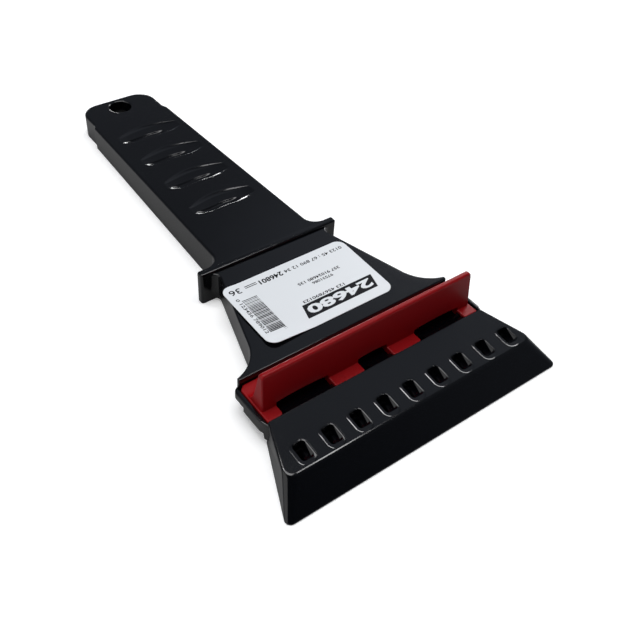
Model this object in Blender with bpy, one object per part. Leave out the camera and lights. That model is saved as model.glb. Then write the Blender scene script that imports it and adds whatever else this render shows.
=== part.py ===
# Hand ice scraper: a one-piece black moulding (handle, guard, neck and scraper head, hollow and
# ribbed underneath), a red upright blade that snaps into a channel of the head, and an adhesive label.
# Metres, +Z up. The tool lies on its open side, blade towards -Y, hanging end towards +Y.
# Places along the tool are measured from the blade's edge and shifted to the middle by at().
import math

import bmesh
import bpy
from mathutils import Vector

# Lengths along the tool, in order from the blade's edge to the hanging end
bevel_run = 0.0084
head_top_length = 0.0186
channel_length = 0.0166
neck_length = 0.0451
guard_thickness = 0.0031
handle_length = 0.1025
tab_length = 0.0167

# Widths across the tool
blade_width = 0.1105
head_front_width = 0.0998
head_rear_width = 0.0864
tray_width = 0.0892
neck_front_width = 0.0852
neck_waist_width = 0.0636
neck_rear_width = 0.0438
guard_width = 0.0572
handle_front_width = 0.0394
handle_rear_width = 0.0341
tab_width = 0.0318

# Heights above the surface that the tool lies on
guard_height = 0.0129
tab_height = 0.0094
neck_height = 0.0117
head_rear_height = 0.0099
head_front_height = 0.0083
tray_height = 0.0090
edge_land = 0.0005

# Walls and ribs of the moulding
top_wall = 0.0024
side_wall = 0.0020
blade_wall = 0.0024
rib_thickness = 0.0016
handle_bays = 6
neck_rib_pitch = 0.0110
tray_rib_pitch = 0.0150
head_rib_clearance = 0.0030

# Underside: how far the rims stay above the surface behind the blade
relief_step = 0.0008
tray_relief = 0.0046
flange_relief = 0.0064
flange_step_setback = 0.0058
neck_relief = 0.0009
neck_relief_run = 0.0016

# Roundings of the moulding
edge_round = 0.0006
guard_corner = 0.0009
guard_fillet = 0.0050
neck_fillet = 0.0025
neck_shoulder_radius = 0.0146
neck_shoulder_run = 0.0114
tab_corner = 0.0077
notch_run = 0.0020
head_corner = 0.0030
blade_corner = 0.0019
tray_corner = 0.0024

# Hanging hole with its countersink and the boss round it
hole_diameter = 0.0092
hole_setback = 0.0070
hole_sink = 0.0007
boss_wall = 0.0020
boss_clearance = 0.0005

# Finger grips: crescents with a terrace and a dish, cut into the top of the handle
grip_count = 4
grip_first_setback = 0.0258
grip_pitch = 0.0190
grip_half_width = 0.0146
grip_bow = 0.0046
grip_offset = 0.0007
grip_end_power = 4
grip_slope_run = 0.0020
grip_terrace_run = 0.0039
grip_step_run = 0.0008
grip_dish_run = 0.0012
grip_front_run = 0.0036
grip_terrace_depth = 0.0007
grip_dish_depth = 0.0013
grip_dish_half_width = 0.0096
grip_dish_shift = -0.0020
grip_rise = 0.0008
grip_end_rise = 0.0002
grip_end_share = 0.3

# Breaker teeth under the head, each cored from above by a lipped pocket
tooth_count = 9
tooth_pitch = 0.01035
tooth_setback = 0.0047
tooth_wall = 0.0014
tooth_tip = 0.0016
tooth_tip_height = 0.0004
pocket_width = 0.0052
pocket_length = 0.0074
pocket_offset = 0.0004
pocket_corner = 0.0012
pocket_lip = 0.0008
pocket_draft = 0.0001
pocket_wall_depth = 0.0012
pocket_depth = 0.0056
pocket_end = 0.0012

# Channel of the head, and the upright blade that snaps into it
seat_gap = 0.0003
tongue_overhang = 0.0022
tongue_chamfer_run = 0.0036
tongue_chamfer_rise = 0.0018
insert_offset = 0.0005
insert_width = 0.0848
insert_corner = 0.0014
insert_plate = 0.0022
insert_top = 0.0095
fin_height = 0.0138
fin_setback = 0.0041
fin_lean = 0.0013
fin_top_thickness = 0.0020
fin_root_thickness = 0.0062
fin_root_fillet = 0.0022
fin_end_inset = 0.0005
fin_end_draft = 0.0006
fin_corner = 0.0012
fin_tip_round = 0.0004
fin_flare = 0.75
end_tab_width = 0.0056
mid_tab_width = 0.0115
mid_tab_place = 0.01165
tab_slack = 0.0022
tab_round = 0.0003
fin_window_depth = 0.0026
fin_window_rise = 0.0013
fin_window_arch = 0.0006
leg_width = 0.0050
leg_thickness = 0.0014
leg_pitch = 0.0300
leg_barb = 0.0007
leg_barb_height = 0.0010
leg_setback = 0.0060
floor_thickness = 0.0016

# Adhesive label on the neck
label_width = 0.0506
label_length = 0.0307
label_thickness = 0.0003
label_corner = 0.0034
label_offset = 0.0016
label_setback = 0.0087

# Cutters run this far past the faces that they cut
overrun = 0.0010
arc_steps = 6
flat_tolerance = 0.0000005
hole_sides = 24
grip_columns = 14
round_shares = (0.0, 0.5, 1.0)
lip_shares = (0.0, 0.25, 0.5, 0.75, 1.0)
fin_shares = (0.1, 0.25, 0.45, 0.7)
fin_window_shares = (0.0, 0.1, 0.25, 0.5, 0.75, 0.9, 1.0)

bevel_top = bevel_run
head_rear = bevel_top + head_top_length
tongue_rear = head_rear + tongue_overhang
neck_front = head_rear + channel_length
neck_waist = neck_front + neck_shoulder_run
guard_front = neck_front + neck_length
guard_rear = guard_front + guard_thickness
handle_rear = guard_rear + handle_length
overall_length = handle_rear + tab_length
channel_floor = insert_top - insert_plate - seat_gap
channel_half = insert_width / 2 + insert_offset + seat_gap


def at(distance):
    """Y of a place that lies this far behind the blade's edge."""
    return distance - overall_length / 2


def blend(start, end, share):
    return start + (end - start) * share


def handle_half(distance):
    share = (distance - guard_front) / (handle_rear - guard_front)
    return blend(handle_front_width, handle_rear_width, share) / 2


def handle_top(distance):
    share = (distance - guard_front) / (overall_length - guard_front)
    return blend(guard_height, tab_height, share)


def head_top(distance):
    share = (distance - bevel_top) / (head_rear - bevel_top)
    return blend(head_front_height, head_rear_height, share)


def neck_slope():
    return (neck_waist_width - neck_rear_width) / 2 / (guard_front - neck_waist)


def neck_half(distance):
    return neck_rear_width / 2 + (guard_front - distance) * neck_slope()


def arc(centre_x, centre_y, radius, start, end, steps=arc_steps):
    """Points of an arc in plan, from angle start to angle end in radians."""
    points = []
    for index in range(steps + 1):
        angle = blend(start, end, index / steps)
        points.append((centre_x + radius * math.cos(angle), centre_y + radius * math.sin(angle)))
    return points


def circle(centre_y, radius):
    """A full circle on the middle line."""
    return arc(0, centre_y, radius, 0, math.tau * (hole_sides - 1) / hole_sides, hole_sides - 1)


def mirrored(right_side):
    """Closes the right half of an outline with its mirror image."""
    return right_side + [(-x, y) for x, y in reversed(right_side)]


def inset(outline, amount):
    """Moves each point of a counter-clockwise outline inwards by amount."""
    moved = []
    for index, (x, y) in enumerate(outline):
        before = Vector(outline[index - 1])
        after = Vector(outline[(index + 1) % len(outline)])
        here = Vector((x, y))
        first = (here - before).normalized()
        second = (after - here).normalized()
        normal_in = Vector((-first.y, first.x)) + Vector((-second.y, second.x))
        normal_in.normalize()
        reach = amount / max(normal_in.dot(Vector((-first.y, first.x))), 0.5)
        moved.append((x + normal_in.x * reach, y + normal_in.y * reach))
    return moved


def add_rings(mesh, rings):
    """Adds a closed solid that runs through rings of equal point count, capped at both ends."""
    rows = []
    for ring in rings:
        rows.append([mesh.verts.new(point) for point in ring])
    count = len(rows[0])
    for lower, upper in zip(rows, rows[1:]):
        for index in range(count):
            following = (index + 1) % count
            mesh.faces.new((lower[index], lower[following], upper[following], upper[index]))
    mesh.faces.new(list(reversed(rows[0])))
    mesh.faces.new(rows[-1])


def level(outline, height):
    """Lifts an outline, given as distances behind the blade's edge, to a height or height function."""
    if callable(height):
        return [(x, at(y), height(y)) for x, y in outline]
    return [(x, at(y), height) for x, y in outline]


def block_rings(left, right, front, rear, bottom, top):
    """Two rings of a block; top may be a function of the distance behind the blade's edge."""
    outline = [(left, front), (right, front), (right, rear), (left, rear)]
    return [level(outline, bottom), level(outline, top)]


def is_flat(face):
    return all(abs((vert.co - face.verts[0].co).dot(face.normal)) < flat_tolerance for vert in face.verts)


def new_object(name, solids, guide=False, smooth=False):
    """Makes one object from a list of ring lists."""
    mesh = bmesh.new()
    for rings in solids:
        add_rings(mesh, rings)
    bmesh.ops.recalc_face_normals(mesh, faces=mesh.faces)
    bent = [face for face in mesh.faces if len(face.verts) == 4 and not is_flat(face)]
    bmesh.ops.triangulate(mesh, faces=bent)
    data = bpy.data.meshes.new(name)
    mesh.to_mesh(data)
    mesh.free()
    item = bpy.data.objects.new(name, data)
    bpy.context.collection.objects.link(item)
    if smooth:
        data.shade_smooth()
        data.set_sharp_from_angle(angle=math.radians(35))
    if guide:
        item.hide_render = True
        item.hide_viewport = False
        item.display_type = 'WIRE'
    return item


def combine(item, other, operation):
    """Keeps a live Boolean on item; the other object stays as a hidden guide."""
    modifier = item.modifiers.new(operation.title() + " " + other.name, 'BOOLEAN')
    modifier.operation = operation
    modifier.solver = 'EXACT'
    modifier.object = other


def material(name, colour, roughness):
    made = bpy.data.materials.new(name)
    made.use_nodes = True
    shader = made.node_tree.nodes["Principled BSDF"]
    shader.inputs["Base Color"].default_value = (*colour, 1.0)
    shader.inputs["Roughness"].default_value = roughness
    shader.inputs["Metallic"].default_value = 0.0
    made.diffuse_color = (*colour, 1.0)
    return made


def rounded_rings(outline, bottom, top, lower_round=0.0, upper_round=edge_round):
    """Rings of a prism on a counter-clockwise outline, with its edges rounded; heights may be functions."""
    def shifted(height, amount):
        return lambda distance: (height(distance) if callable(height) else height) + amount
    rings = []
    quarter = math.pi / 2
    if lower_round:
        for share in round_shares:
            inwards = lower_round * (1 - math.sin(quarter * share))
            rings.append(level(inset(outline, inwards),
                               shifted(bottom, lower_round * (1 - math.cos(quarter * share)))))
    else:
        rings.append(level(outline, bottom))
    for share in round_shares:
        inwards = upper_round * (1 - math.cos(quarter * share))
        rings.append(level(inset(outline, inwards),
                           shifted(top, -upper_round * (1 - math.sin(quarter * share)))))
    return rings


# Handle, guard and hanging tab

def handle_outline():
    """Right half from the guard's face to the hanging end, then mirrored."""
    guard_half = guard_width / 2
    tab_half = tab_width / 2
    quarter = math.pi / 2
    side = handle_half(guard_rear)
    right = arc(guard_half - guard_corner, guard_front + guard_corner, guard_corner, -quarter, 0, 3)
    right += arc(guard_half - guard_corner, guard_rear - guard_corner, guard_corner, 0, quarter, 3)
    right += arc(side + guard_fillet, guard_rear + guard_fillet, guard_fillet, -quarter, -2 * quarter)
    right.append((handle_half(handle_rear), handle_rear))
    right.append((tab_half, handle_rear + notch_run))
    right += arc(tab_half - tab_corner, overall_length - tab_corner, tab_corner, 0, quarter, 2 * arc_steps)
    return mirrored(right)


def handle_solid():
    return rounded_rings(handle_outline(), 0.0, handle_top)


def handle_cavities():
    """Two rows of bays between a middle rib and cross ribs, and the hollow of the tab."""
    solids = []
    bay = (handle_length - (handle_bays - 1) * rib_thickness) / handle_bays

    def roof(distance):
        return handle_top(distance) - top_wall
    for index in range(handle_bays):
        front = guard_rear + index * (bay + rib_thickness)
        rear = front + bay
        for side in (-1, 1):
            outline = [(side * rib_thickness / 2, front), (side * (handle_half(front) - side_wall), front),
                       (side * (handle_half(rear) - side_wall), rear), (side * rib_thickness / 2, rear)]
            solids.append([level(outline, -overrun), level(outline, roof)])
    half = tab_width / 2 - side_wall
    corner = tab_corner - side_wall
    end = overall_length - side_wall
    right = [(half, handle_rear + rib_thickness)]
    right += arc(half - corner, end - corner, corner, 0, math.pi / 2)
    solids.append([level(mirrored(right), -overrun), level(mirrored(right), roof)])
    return solids


def hole_boss():
    radius = hole_diameter / 2 + boss_wall
    centre = overall_length - hole_setback
    inside = [(x, min(y, overall_length - side_wall / 2)) for x, y in circle(centre, radius)]
    return [level(inside, boss_clearance), level(inside, handle_top(centre) - top_wall / 2)]


def hole_cut():
    """The hole, opened a little at the top by its countersink."""
    centre = overall_length - hole_setback
    top = handle_top(centre)
    radius = hole_diameter / 2

    def ring(reach, height):
        return level(circle(centre, reach), height)
    return [ring(radius, -overrun), ring(radius, top - hole_sink),
            ring(radius + hole_sink, top), ring(radius + hole_sink, top + overrun)]


def grip_solid(index):
    """One crescent: rear slope, terrace, step and dish, rising out of the surface at its ends."""
    apex = overall_length - grip_first_setback - index * grip_pitch
    runs = [grip_slope_run, grip_terrace_run, grip_step_run, grip_dish_run]
    rings = []
    for column in range(grip_columns + 1):
        place = 2 * column / grip_columns - 1
        fade = 1 - place ** grip_end_power
        spread = blend(grip_end_share, 1.0, fade)
        x = place * grip_half_width + grip_offset
        dish = max(0.0, 1 - ((x - grip_dish_shift) / grip_dish_half_width) ** 2)
        dish_depth = blend(grip_terrace_depth * fade, grip_dish_depth, dish)
        depths = [grip_terrace_depth * fade, grip_terrace_depth * fade, dish_depth, dish_depth]
        back = apex - grip_bow * place ** 2
        start = back + grip_slope_run * spread * grip_rise / grip_terrace_depth
        ring = [(x, at(start), handle_top(start) + grip_rise)]
        distance = back
        for run, depth in zip(runs, depths):
            distance -= run * spread
            ring.append((x, at(distance), handle_top(distance) - depth + grip_end_rise * (1 - fade)))
        finish = distance - grip_front_run * spread
        ring.append((x, at(finish), handle_top(finish) + grip_rise))
        rings.append(ring)
    return rings


# Neck

def shoulder_centre():
    lean = math.atan(neck_slope())
    start_x = neck_half(neck_waist)
    return start_x + neck_shoulder_radius * math.cos(lean), neck_waist + neck_shoulder_radius * math.sin(lean)


def shoulder_arc(radius, end_x):
    """Concave sweep from the head's corner back to the neck's straight side."""
    lean = math.atan(neck_slope())
    centre_x, centre_y = shoulder_centre()
    last = math.acos(min(max((centre_x - end_x) / radius, -1.0), 1.0))
    points = []
    for step in range(2 * arc_steps + 1):
        angle = blend(last, lean, step / (2 * arc_steps))
        points.append((centre_x - radius * math.cos(angle), centre_y - radius * math.sin(angle)))
    return points


def neck_outline():
    lean = math.atan(neck_slope())
    front_half = neck_front_width / 2
    right = [(front_half - edge_round, neck_front), (front_half, neck_front + edge_round)]
    right += shoulder_arc(neck_shoulder_radius, front_half - edge_round / 2)
    centre_x = neck_rear_width / 2 + neck_fillet * (math.tan(lean) + 1 / math.cos(lean))
    centre_y = guard_front - neck_fillet
    for step in range(5):
        angle = blend(lean, -math.pi / 2, step / 4)
        right.append((centre_x - neck_fillet * math.cos(angle), centre_y - neck_fillet * math.sin(angle)))
    right.append((centre_x, guard_front + guard_thickness / 2))
    return mirrored(right)


def neck_solid():
    return rounded_rings(neck_outline(), neck_relief / 2, neck_height)


def neck_cavities():
    """Bays between ribs along the neck and one cross rib."""
    solids = []
    roof = neck_height - top_wall
    front = neck_front + side_wall
    rear = guard_front
    middle = (front + rear) / 2
    half_rib = rib_thickness / 2
    for side in (-1, 1):
        for low, high in ((front, middle - half_rib), (middle + half_rib, rear)):
            inner = side * half_rib
            outer = side * (neck_rib_pitch - half_rib)
            solids.append(block_rings(inner, outer, low, high, -overrun, roof))
        inner = neck_rib_pitch + half_rib
        outer = 2 * neck_rib_pitch - half_rib
        solids.append(block_rings(side * inner, side * outer, front, middle - half_rib, -overrun, roof))
        rear_bay = [(side * inner, middle + half_rib), (side * (neck_half(middle + half_rib) - side_wall),
                    middle + half_rib), (side * (neck_half(rear) - side_wall), rear), (side * inner, rear)]
        solids.append([level(rear_bay, -overrun), level(rear_bay, roof)])
        wing = 2 * neck_rib_pitch + half_rib
        centre_x, centre_y = shoulder_centre()
        radius = neck_shoulder_radius + side_wall
        lean = math.atan(neck_slope())
        first = math.asin(min((centre_y - front) / radius, 1.0))
        sweep = [(centre_x - radius * math.cos(blend(first, lean, step / arc_steps)),
                  centre_y - radius * math.sin(blend(first, lean, step / arc_steps)))
                 for step in range(arc_steps + 1)]
        sweep.append((neck_half(middle - half_rib) - side_wall, middle - half_rib))
        outline = [(side * wing, front)] + [(side * x, y) for x, y in sweep] + [(side * wing, middle - half_rib)]
        solids.append([level(outline, -overrun), level(outline, roof)])
    return solids


# Head: a lofted block with the bevelled blade, and the tray behind it

def head_loop(front, front_half, rear_half, corner):
    """Plan of the head at one level, with rounded front corners."""
    slope = (front_half - rear_half) / (tongue_rear - front)
    turn = math.atan(slope)
    centre_x = front_half - corner * (1 + math.sin(turn)) / math.cos(turn)
    right = arc(centre_x, front + corner, corner, -math.pi / 2, turn, arc_steps)
    right.append((rear_half, tongue_rear))
    return mirrored(right)


def head_solid():
    slope = (head_front_width - head_rear_width) / 2 / (head_rear - bevel_top)
    rear_half = head_front_width / 2 - slope * (tongue_rear - bevel_top)
    bottom = head_loop(0.0, blade_width / 2, rear_half, blade_corner)
    top = head_loop(bevel_top, head_front_width / 2, rear_half, head_corner)
    round_in = inset(top, edge_round / 2)
    shoulder = [(blend(a[0], b[0], edge_round / head_front_height), blend(a[1], b[1], edge_round / head_front_height))
                for a, b in zip(top, bottom)]
    rings = [level(bottom, 0.0), level(bottom, edge_land)]
    rings.append(level(shoulder, lambda distance: head_top(distance) - edge_round))
    rings.append(level(round_in, head_top))
    return rings


def head_cavity():
    """Hollow behind the blade, its front wall parallel to the bevel."""
    slant = math.atan2(head_front_height - edge_land, bevel_run)
    set_back = blade_wall / math.sin(slant)
    rise = head_front_height - top_wall
    rear = head_rear - side_wall
    end_slope = (blade_width - head_rear_width) / 2 / head_rear
    lower_front = set_back - overrun / math.tan(slant)
    upper_front = set_back + rise / math.tan(slant)
    wall = side_wall / math.cos(math.atan(end_slope))

    def half(distance, lift):
        drawn = blend(blade_width, head_front_width, lift) / 2
        share = distance / head_rear
        return blend(drawn, head_rear_width / 2, share) - wall
    lower = [(half(lower_front, 0), lower_front), (half(rear, 0), rear)]
    upper = [(half(upper_front, 0), upper_front), (half(rear, 0), rear)]
    return [level(mirrored(lower), -overrun),
            level(mirrored(upper), lambda distance: head_top(distance) - top_wall)]


def head_ribs():
    """Ribs under the head between the teeth, their front ends inside the blade's wall."""
    slant = math.atan2(head_front_height - edge_land, bevel_run)
    set_back = blade_wall / 2 / math.sin(slant)
    rear = head_rear - side_wall / 2
    low = head_rib_clearance
    solids = []
    front_low = set_back + low / math.tan(slant)
    front_high = set_back + (head_front_height - top_wall / 2) / math.tan(slant)
    for first, second in zip(tooth_places(), tooth_places()[1:]):
        left = (first + second - rib_thickness) / 2
        right = left + rib_thickness
        bottom = [(left, front_low), (right, front_low), (right, rear), (left, rear)]
        top = [(left, front_high), (right, front_high), (right, rear), (left, rear)]
        solids.append([level(bottom, low), level(top, lambda distance: head_top(distance) - top_wall / 2)])
    return solids


def tray_solid():
    """Side walls and floor of the channel, running under the neck and into the head."""
    half = tray_width / 2
    right = [(head_rear_width / 2, head_rear - side_wall), (half, tongue_rear)]
    right += arc(half - tray_corner, neck_front + edge_round - tray_corner, tray_corner, 0, math.pi / 2)
    return rounded_rings(mirrored(right), tray_relief / 2, tray_height, 0.0, edge_round / 2)


def tray_cavities():
    """Shallow bays under the channel's floor."""
    solids = []
    front = head_rear + tongue_overhang
    rear = neck_front
    roof = channel_floor - floor_thickness
    half_rib = rib_thickness / 2
    outer_wall = channel_half - 2 * edge_round
    edges = [-outer_wall]
    for step in (-2, -1, 0, 1, 2, 3):
        middle = (step - 0.5) * tray_rib_pitch
        edges += [middle - half_rib, middle + half_rib]
    edges.append(outer_wall)
    for left, right in zip(edges[::2], edges[1::2]):
        solids.append(block_rings(left, right, front, rear, -overrun, roof))
    return solids


def relief_cut():
    """Lifts the lower rims of the head's rear, the tray and the neck off the surface."""
    profile = [(head_rear, -overrun), (head_rear, 0.0), (head_rear + relief_step, tray_relief),
               (neck_front + side_wall, tray_relief), (neck_front + side_wall + neck_relief_run, neck_relief),
               (guard_front, neck_relief), (guard_front, -overrun)]
    half = blade_width / 2
    return [[(-half, at(y), z) for y, z in profile], [(half, at(y), z) for y, z in profile]]


def flange_cuts():
    """Raises the lower rim of the channel's side walls near the neck."""
    front = neck_front - flange_step_setback
    rear = neck_front + tray_corner / 2
    inner = channel_half - edge_round
    outer = tray_width / 2 + overrun
    return [block_rings(side * inner, side * outer, front, rear, 0.0, flange_relief) for side in (-1, 1)]


def tooth_places():
    return [(index - (tooth_count - 1) / 2) * tooth_pitch for index in range(tooth_count)]


def rounded_rectangle(centre_x, centre_y, half_x, half_y, corner):
    radius = min(corner, half_x, half_y)
    quarter = math.pi / 2
    points = []
    for turn, (sign_x, sign_y) in enumerate(((1, 1), (-1, 1), (-1, -1), (1, -1))):
        points += arc(centre_x + sign_x * (half_x - radius), centre_y + sign_y * (half_y - radius),
                      radius, turn * quarter, (turn + 1) * quarter, 3)
    return points


def tooth_solid(x):
    """A pyramid that hangs from the head's top plate."""
    centre = bevel_top + tooth_setback
    half_x = pocket_width / 2 + tooth_wall
    half_y = pocket_length / 2 + tooth_wall
    root = head_top(centre) - top_wall / 2
    return [level(rounded_rectangle(x, centre, tooth_tip / 2, tooth_tip / 2, tooth_tip / 4), tooth_tip_height),
            level(rounded_rectangle(x, centre, half_x, half_y, pocket_corner), root)]


def pocket_solid(x):
    """The core of one tooth: a rounded lip, a short wall, and slopes that draw in to a small end."""
    x += pocket_offset
    centre = bevel_top + tooth_setback
    top = head_top(centre)
    half_x = pocket_width / 2
    half_y = pocket_length / 2

    def ring(reach, height):
        outline = rounded_rectangle(x, centre, half_x + reach, half_y + reach, pocket_corner + max(reach, 0.0))
        return outline, height
    rings = []
    outline, height = ring(pocket_lip, 0.0)
    rings.append(level(outline, lambda distance: head_top(distance) + overrun))
    for share in lip_shares:
        angle = share * math.pi / 2
        outline, height = ring(pocket_lip * (1 - math.sin(angle)), -pocket_lip * (1 - math.cos(angle)))
        rings.append(level(outline, lambda distance, drop=height: head_top(distance) + drop))
    rings.append(level(rounded_rectangle(x, centre, half_x - pocket_draft, half_y - pocket_draft, pocket_corner),
                       top - pocket_wall_depth))
    rings.append(level(rounded_rectangle(x, centre, pocket_end / 2, pocket_end / 2, pocket_corner / 4),
                       top - pocket_depth))
    return list(reversed(rings))


def tab_spans():
    """Left and right ends of the four tabs of the upright blade."""
    half = insert_width / 2
    spans = [(-half, end_tab_width - half)]
    for place in (-mid_tab_place, mid_tab_place):
        spans.append((place - mid_tab_width / 2, place + mid_tab_width / 2))
    spans.append((half - end_tab_width, half))
    return [(left - insert_offset, right - insert_offset) for left, right in spans]


def channel_cut():
    """The channel with the notches that take the tabs; the tongues stay between them."""
    spans = tab_spans()
    notch = head_rear
    outline = [(-channel_half, notch), (spans[0][1] + tab_slack / 2, notch), (spans[0][1] + tab_slack / 2, tongue_rear)]
    for left, right in spans[1:3]:
        outline += [(left - seat_gap, tongue_rear), (left - seat_gap, notch),
                    (right + tab_slack, notch), (right + tab_slack, tongue_rear)]
    last = spans[3][0] - seat_gap
    outline += [(last - tongue_chamfer_run, tongue_rear), (last, tongue_rear + tongue_chamfer_rise), (last, notch),
                (channel_half, notch), (channel_half, neck_front), (-channel_half, neck_front)]
    return [level(outline, channel_floor), level(outline, neck_height + overrun)]


def floor_windows():
    """Windows in the channel's floor that the snap legs pass through."""
    solids = []
    centre = neck_front - leg_setback
    for step in (-1, 0, 1):
        x = step * leg_pitch - insert_offset
        half = leg_width / 2 + seat_gap
        front = centre - leg_thickness / 2 - seat_gap
        rear = centre + leg_thickness / 2 + leg_barb + seat_gap
        solids.append(block_rings(x - half, x + half, front, rear,
                                  channel_floor - floor_thickness - overrun, channel_floor + overrun / 2))
    return solids


def make_body():
    body = new_object("scraper_body", [handle_solid()], smooth=True)
    black = material("black_plastic", (0.012, 0.013, 0.015), 0.32)
    body.data.materials.append(black)
    neck = new_object("guide_neck", [neck_solid()], guide=True)
    tray = new_object("guide_tray", [tray_solid()], guide=True)
    head = new_object("guide_head", [head_solid()], guide=True)
    hollows = new_object("guide_hollows",
                         handle_cavities() + neck_cavities() + tray_cavities() + [head_cavity()] + flange_cuts(), guide=True)
    relief = new_object("guide_relief", [relief_cut()], guide=True)
    added = new_object("guide_teeth", [tooth_solid(x) for x in tooth_places()] + head_ribs() + [hole_boss()], guide=True)
    cuts = [pocket_solid(x) for x in tooth_places()]
    cuts += [grip_solid(index) for index in range(grip_count)]
    cuts += [hole_cut(), channel_cut()]
    openings = new_object("guide_cuts", cuts, guide=True)
    windows = new_object("guide_windows", floor_windows(), guide=True)
    for other, operation in ((neck, 'UNION'), (tray, 'UNION'), (head, 'UNION'), (relief, 'DIFFERENCE'),
                             (hollows, 'DIFFERENCE'), (added, 'UNION'), (openings, 'DIFFERENCE'),
                             (windows, 'DIFFERENCE')):
        combine(body, other, operation)
    return body


# Upright blade

def plate_outline():
    """Plan of the base plate: chamfered rear corners, and four tabs that reach out in front of the fin."""
    half = insert_width / 2
    left = -half - insert_offset
    right = half - insert_offset
    tab_front = head_rear + seat_gap
    rear = neck_front - seat_gap
    between = head_rear + fin_setback + fin_window_depth
    outline = [(left, tab_front)]
    spans = tab_spans()
    outline.append((spans[0][1], tab_front))
    outline.append((spans[0][1], between))
    for low, high in spans[1:3]:
        outline += [(low, between), (low, tab_front), (high, tab_front), (high, between)]
    outline += [(spans[3][0], between), (spans[3][0], tab_front), (right, tab_front),
                (right, rear - insert_corner), (right - insert_corner, rear),
                (left + insert_corner, rear), (left, rear - insert_corner)]
    return outline


def plate_solid():
    return rounded_rings(plate_outline(), insert_top - insert_plate, insert_top, 0.0, tab_round)


def fin_solid():
    """Level cuts of the fin, wide at the root, with a filleted rear root and rounded top corners."""
    front = head_rear + fin_setback
    base = insert_width / 2 - fin_end_inset
    rear_root = front + fin_root_thickness
    rear_top = front + fin_lean + fin_top_thickness
    rings = []

    def ring(height, extra=0.0, pull=0.0, thin=0.0):
        share = height / fin_height
        low = blend(front, front + fin_lean, share) + thin
        high = blend(rear_root, rear_top, share ** fin_flare) + extra - thin
        half = base - fin_end_draft * share - pull
        z = insert_top + height
        return [(-half - insert_offset, at(low), z), (half - insert_offset, at(low), z),
                (half - insert_offset, at(high), z), (-half - insert_offset, at(high), z)]
    foot = ring(0.0, fin_root_fillet)
    rings.append([(x, y, insert_top - insert_plate / 2) for x, y, z in foot])
    for share in lip_shares:
        angle = share * math.pi / 2
        rings.append(ring(fin_root_fillet * (1 - math.cos(angle)), fin_root_fillet * (1 - math.sin(angle))))
    start = fin_root_fillet
    end = fin_height - fin_corner
    for share in fin_shares:
        rings.append(ring(blend(start, end, share)))
    for share in lip_shares:
        angle = share * math.pi / 2
        rings.append(ring(end + fin_corner * math.sin(angle), 0.0, fin_corner * (1 - math.cos(angle)),
                          fin_tip_round * (1 - math.cos(angle))))
    return rings


def fin_windows():
    """Arched recesses in the fin's root between the tabs, over the ends of the tongues."""
    solids = []
    spans = tab_spans()
    front = head_rear + fin_setback - overrun
    rear = head_rear + fin_setback + fin_window_depth
    low = insert_top - insert_plate
    for before, after in zip(spans, spans[1:]):
        left = before[1]
        right = after[0]
        arch = [(right, low), (left, low)]
        for share in fin_window_shares:
            rise = fin_window_rise + fin_window_arch * math.sin(share * math.pi)
            arch.append((blend(left, right, share), insert_top + rise))
        solids.append([[(x, at(y), z) for x, z in arch] for y in (front, rear)])
    return solids


def leg_solids():
    """Three snap legs under the plate, each with a barb that catches the floor."""
    solids = []
    centre = neck_front - leg_setback
    high = insert_top - insert_plate / 2
    catch = channel_floor - floor_thickness - seat_gap
    low = catch - leg_barb_height
    half_x = leg_width / 2
    half_y = leg_thickness / 2
    for step in (-1, 0, 1):
        x = step * leg_pitch - insert_offset
        profile = [(centre - half_y, low), (centre + half_y / 2, low), (centre + half_y + leg_barb, catch),
                   (centre + half_y, catch), (centre + half_y, high), (centre - half_y, high)]
        solids.append([[(x - half_x, at(y), z) for y, z in profile], [(x + half_x, at(y), z) for y, z in profile]])
    return solids


def make_upright_blade():
    blade = new_object("upright_blade", [plate_solid()], smooth=True)
    blade.data.materials.append(material("red_plastic", (0.33, 0.012, 0.018), 0.38))
    fin = new_object("guide_fin", [fin_solid()], guide=True)
    recesses = new_object("guide_recesses", fin_windows(), guide=True)
    legs = new_object("guide_legs", leg_solids(), guide=True)
    combine(blade, fin, 'UNION')
    combine(blade, recesses, 'DIFFERENCE')
    combine(blade, legs, 'UNION')
    return blade


# Label

def make_label():
    centre = guard_front - label_setback - label_length / 2
    outline = rounded_rectangle(-label_offset, centre, label_width / 2, label_length / 2, label_corner)
    bottom = neck_height + seat_gap
    label = new_object("label", [[level(outline, bottom), level(outline, bottom + label_thickness)]])
    label.data.materials.append(material("label_paper", (0.80, 0.82, 0.84), 0.45))
    return label


for old in list(bpy.data.objects):
    bpy.data.objects.remove(old, do_unlink=True)
make_body()
make_upright_blade()
make_label()
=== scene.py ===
from math import acos, asin, atan, cos, degrees, pi, radians, sin, tan

import bmesh
import bpy
from mathutils import Matrix, Vector


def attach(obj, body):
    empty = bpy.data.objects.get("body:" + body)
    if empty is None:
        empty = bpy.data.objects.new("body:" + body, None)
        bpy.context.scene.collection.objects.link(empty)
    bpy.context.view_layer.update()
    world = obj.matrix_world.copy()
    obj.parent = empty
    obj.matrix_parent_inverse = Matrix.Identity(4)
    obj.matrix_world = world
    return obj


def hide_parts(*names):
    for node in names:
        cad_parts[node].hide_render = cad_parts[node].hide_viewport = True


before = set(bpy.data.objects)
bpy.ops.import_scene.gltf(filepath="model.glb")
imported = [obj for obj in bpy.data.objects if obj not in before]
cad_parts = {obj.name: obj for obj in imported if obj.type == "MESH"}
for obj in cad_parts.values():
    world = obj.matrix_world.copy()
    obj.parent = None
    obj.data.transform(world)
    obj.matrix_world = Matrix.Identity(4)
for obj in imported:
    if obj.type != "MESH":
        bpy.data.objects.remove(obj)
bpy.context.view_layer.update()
print("frame loaded")

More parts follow.
